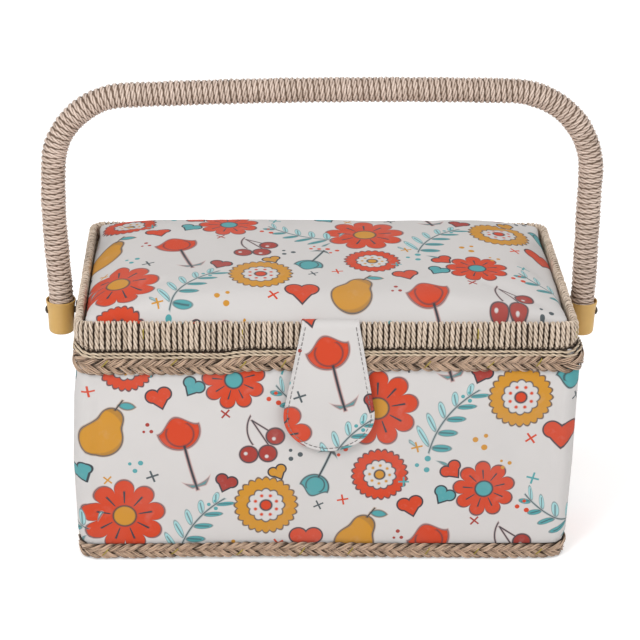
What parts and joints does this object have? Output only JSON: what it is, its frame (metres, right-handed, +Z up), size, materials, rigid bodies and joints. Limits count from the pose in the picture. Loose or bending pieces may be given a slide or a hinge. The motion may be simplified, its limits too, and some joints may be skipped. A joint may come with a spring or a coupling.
{
  "type": "sewing basket with a hinged lid and a bail handle",
  "caption": "Cloth-covered rectangular sewing basket with a padded hinged lid bound in cord, a magnetic front tab, a lift-out tray and a cord-wrapped bail handle.",
  "frame": {"origin": "centre of the flat face under the base, which the basket rests on", "axes": "+X to the right along the basket's width, +Y to the back where the hinges are, +Z up; the tab is at the front, -Y"},
  "size_m": [0.3262, 0.1685, 0.2646],
  "materials": {
    "cover_cloth": "printed cotton cloth, matte",
    "lining_cloth": "plain cotton cloth, matte",
    "base_cloth": "coarse cloth, matte",
    "board": "plain fibreboard",
    "braid": "plaited paper cord, soft sheen",
    "pale_cord": "twisted paper cord, soft sheen",
    "handle_cord": "wound paper cord, soft sheen",
    "handle_rod": "hidden plastic rod",
    "ferrule": "moulded plastic, satin",
    "rivet_metal": "darkened metal",
    "steel": "plain steel",
    "hinge_metal": "satin brass",
    "elastic": "ribbed elastic",
    "pincushion_cloth": "felt",
    "tray_plastic": "moulded plastic, satin"
  },
  "bodies": {
    "box": {"base_cloth": "base_cloth", "base_board": "board", "floor_pad": "lining_cloth", "front_board": "board", "back_board": "board", "left_board": "board", "right_board": "board", "corner_strips": "board", "outer_cover": "cover_cloth", "wall_lining": "lining_cloth", "base_braid": "braid", "top_braid": "braid", "seam_cord": "pale_cord", "left_ledge": "board", "right_ledge": "board", "spacer_washers": "ferrule", "rivet_plates": "steel", "tab_magnet": "steel", "box_hinge_leaf_left": "hinge_metal", "box_hinge_leaf_right": "hinge_metal", "hinge_pin_left": "hinge_metal", "hinge_pin_right": "hinge_metal", "box_hinge_screws": "hinge_metal"},
    "lid": {"lid_board": "board", "lid_rim_core": "board", "lid_rim_cord": "pale_cord", "lid_pad": "cover_cloth", "lid_lining": "lining_cloth", "lid_pocket": "lining_cloth", "pocket_elastic": "elastic", "pincushion": "pincushion_cloth", "pincushion_band": "pincushion_cloth", "tab_root": "cover_cloth", "lid_hinge_leaf_left": "hinge_metal", "lid_hinge_leaf_right": "hinge_metal", "lid_hinge_screws": "hinge_metal"},
    "tab": {"tab_front": "cover_cloth", "tab_back": "lining_cloth", "tab_plate": "steel"},
    "rivets": {"rivet_left": "rivet_metal", "rivet_right": "rivet_metal"},
    "handle": {"handle_rod": "handle_rod", "handle_cord": "handle_cord", "ferrule_left": "ferrule", "ferrule_right": "ferrule"},
    "tray": {"tray": "tray_plastic"}
  },
  "joints": [
    {"name": "lid_hinge", "type": "hinge", "parent": "box", "child": "lid", "pos_m": [0, 0.0829, 0.1335], "axis": [-1, 0, 0], "range_deg": [0, 100]},
    {"name": "rivet_turn", "type": "hinge", "parent": "box", "child": "rivets", "pos_m": [0, 0, 0.1225], "axis": [-1, 0, 0], "range_deg": [0, 85]},
    {"name": "handle_swing", "type": "hinge", "parent": "rivets", "child": "handle", "pos_m": [0, 0, 0.1225], "axis": [-1, 0, 0], "range_deg": [-135, 50]},
    {"name": "tab_flex", "type": "hinge", "parent": "lid", "child": "tab", "pos_m": [0, -0.0811, 0.1482], "axis": [-1, 0, 0], "range_deg": [0, 110]},
    {"name": "tray_lift", "type": "slide", "parent": "box", "child": "tray", "axis": [0, 0, 1], "range_m": [0, 0.01]}
  ],
  "couplings": [
    {"joint": "rivet_turn", "follows": "lid_hinge", "ratio": 0.85}
  ]
}
